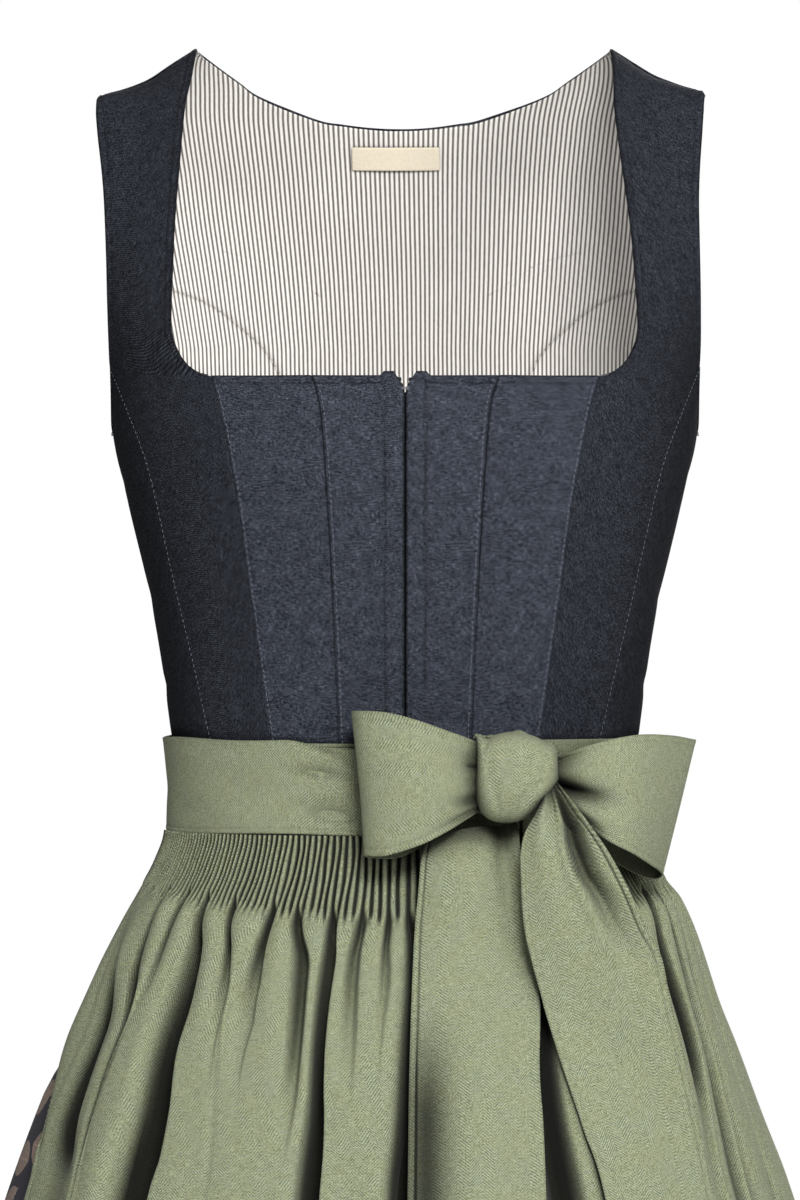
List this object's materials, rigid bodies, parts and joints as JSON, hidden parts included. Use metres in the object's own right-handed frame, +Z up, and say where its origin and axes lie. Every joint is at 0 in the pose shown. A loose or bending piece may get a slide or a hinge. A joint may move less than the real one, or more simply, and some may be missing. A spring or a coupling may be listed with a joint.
{
  "type": "dirndl dress",
  "caption": "Sleeveless dirndl dress with a square-necked panelled bodice, striped lining, gathered skirt and a finely pleated apron tied in a front bow.",
  "frame": {"origin": "midway between the two shoulder straps, at the height where they rest on the wearer's shoulders", "axes": "+Z up, the dress hanging down from the shoulders; the front faces -Y; +X is the side of the bow"},
  "size_m": [0.6758, 0.5463, 1.0973],
  "materials": {
    "apron_gauging_cloth": "sage green herringbone linen, matt",
    "apron_skirt_cloth": "sage green herringbone linen, matt",
    "apron_tie_back_under_cloth": "sage green herringbone linen, matt",
    "apron_tie_wrap_left_cloth": "sage green herringbone linen, matt",
    "apron_tie_wrap_right_cloth": "sage green herringbone linen, matt",
    "apron_waistband_cloth": "sage green herringbone linen, matt",
    "bodice_back_centre_cloth": "dark indigo twill, matt",
    "bodice_back_side_left_cloth": "dark indigo twill, matt",
    "bodice_back_side_right_cloth": "dark indigo twill, matt",
    "bodice_front_centre_left_cloth": "dark indigo twill, matt",
    "bodice_front_centre_right_cloth": "dark indigo twill, matt",
    "bodice_front_middle_left_cloth": "dark indigo twill, matt",
    "bodice_front_middle_right_cloth": "dark indigo twill, matt",
    "bodice_front_side_left_cloth": "dark indigo twill, matt",
    "bodice_front_side_right_cloth": "dark indigo twill, matt",
    "bodice_side_left_cloth": "dark indigo twill, matt",
    "bodice_side_right_cloth": "dark indigo twill, matt",
    "bow_knot_cloth": "sage green herringbone linen, matt",
    "bow_loop_left_cloth": "sage green herringbone linen, matt",
    "bow_loop_right_cloth": "sage green herringbone linen, matt",
    "bow_tail_left_cloth": "sage green herringbone linen, matt",
    "bow_tail_right_cloth": "sage green herringbone linen, matt",
    "lining_back_centre_cloth": "striped cotton ticking, matt",
    "lining_back_side_left_cloth": "striped cotton ticking, matt",
    "lining_back_side_right_cloth": "striped cotton ticking, matt",
    "neck_hook_metal": "plated wire, dull",
    "neck_label_cloth": "woven tape, matt",
    "placket_underlap_cloth": "dark indigo twill, matt",
    "skirt_back_cloth": "dark printed cotton, matt",
    "skirt_front_cloth": "dark printed cotton, matt"
  },
  "bodies": {
    "root": {"apron_gauging": "apron_gauging_cloth", "apron_skirt": "apron_skirt_cloth", "apron_tie_back_under": "apron_tie_back_under_cloth", "apron_tie_wrap_left": "apron_tie_wrap_left_cloth", "apron_tie_wrap_right": "apron_tie_wrap_right_cloth", "apron_waistband": "apron_waistband_cloth", "bodice_back_centre": "bodice_back_centre_cloth", "bodice_back_side_left": "bodice_back_side_left_cloth", "bodice_back_side_right": "bodice_back_side_right_cloth", "bodice_front_centre_left": "bodice_front_centre_left_cloth", "bodice_front_centre_right": "bodice_front_centre_right_cloth", "bodice_front_middle_left": "bodice_front_middle_left_cloth", "bodice_front_middle_right": "bodice_front_middle_right_cloth", "bodice_front_side_left": "bodice_front_side_left_cloth", "bodice_front_side_right": "bodice_front_side_right_cloth", "bodice_side_left": "bodice_side_left_cloth", "bodice_side_right": "bodice_side_right_cloth", "bow_knot": "bow_knot_cloth", "bow_loop_left": "bow_loop_left_cloth", "bow_loop_right": "bow_loop_right_cloth", "bow_tail_left": "bow_tail_left_cloth", "bow_tail_right": "bow_tail_right_cloth", "lining_back_centre": "lining_back_centre_cloth", "lining_back_side_left": "lining_back_side_left_cloth", "lining_back_side_right": "lining_back_side_right_cloth", "neck_hook": "neck_hook_metal", "neck_label": "neck_label_cloth", "placket_underlap": "placket_underlap_cloth", "skirt_back": "skirt_back_cloth", "skirt_front": "skirt_front_cloth"}
  },
  "joints": []
}
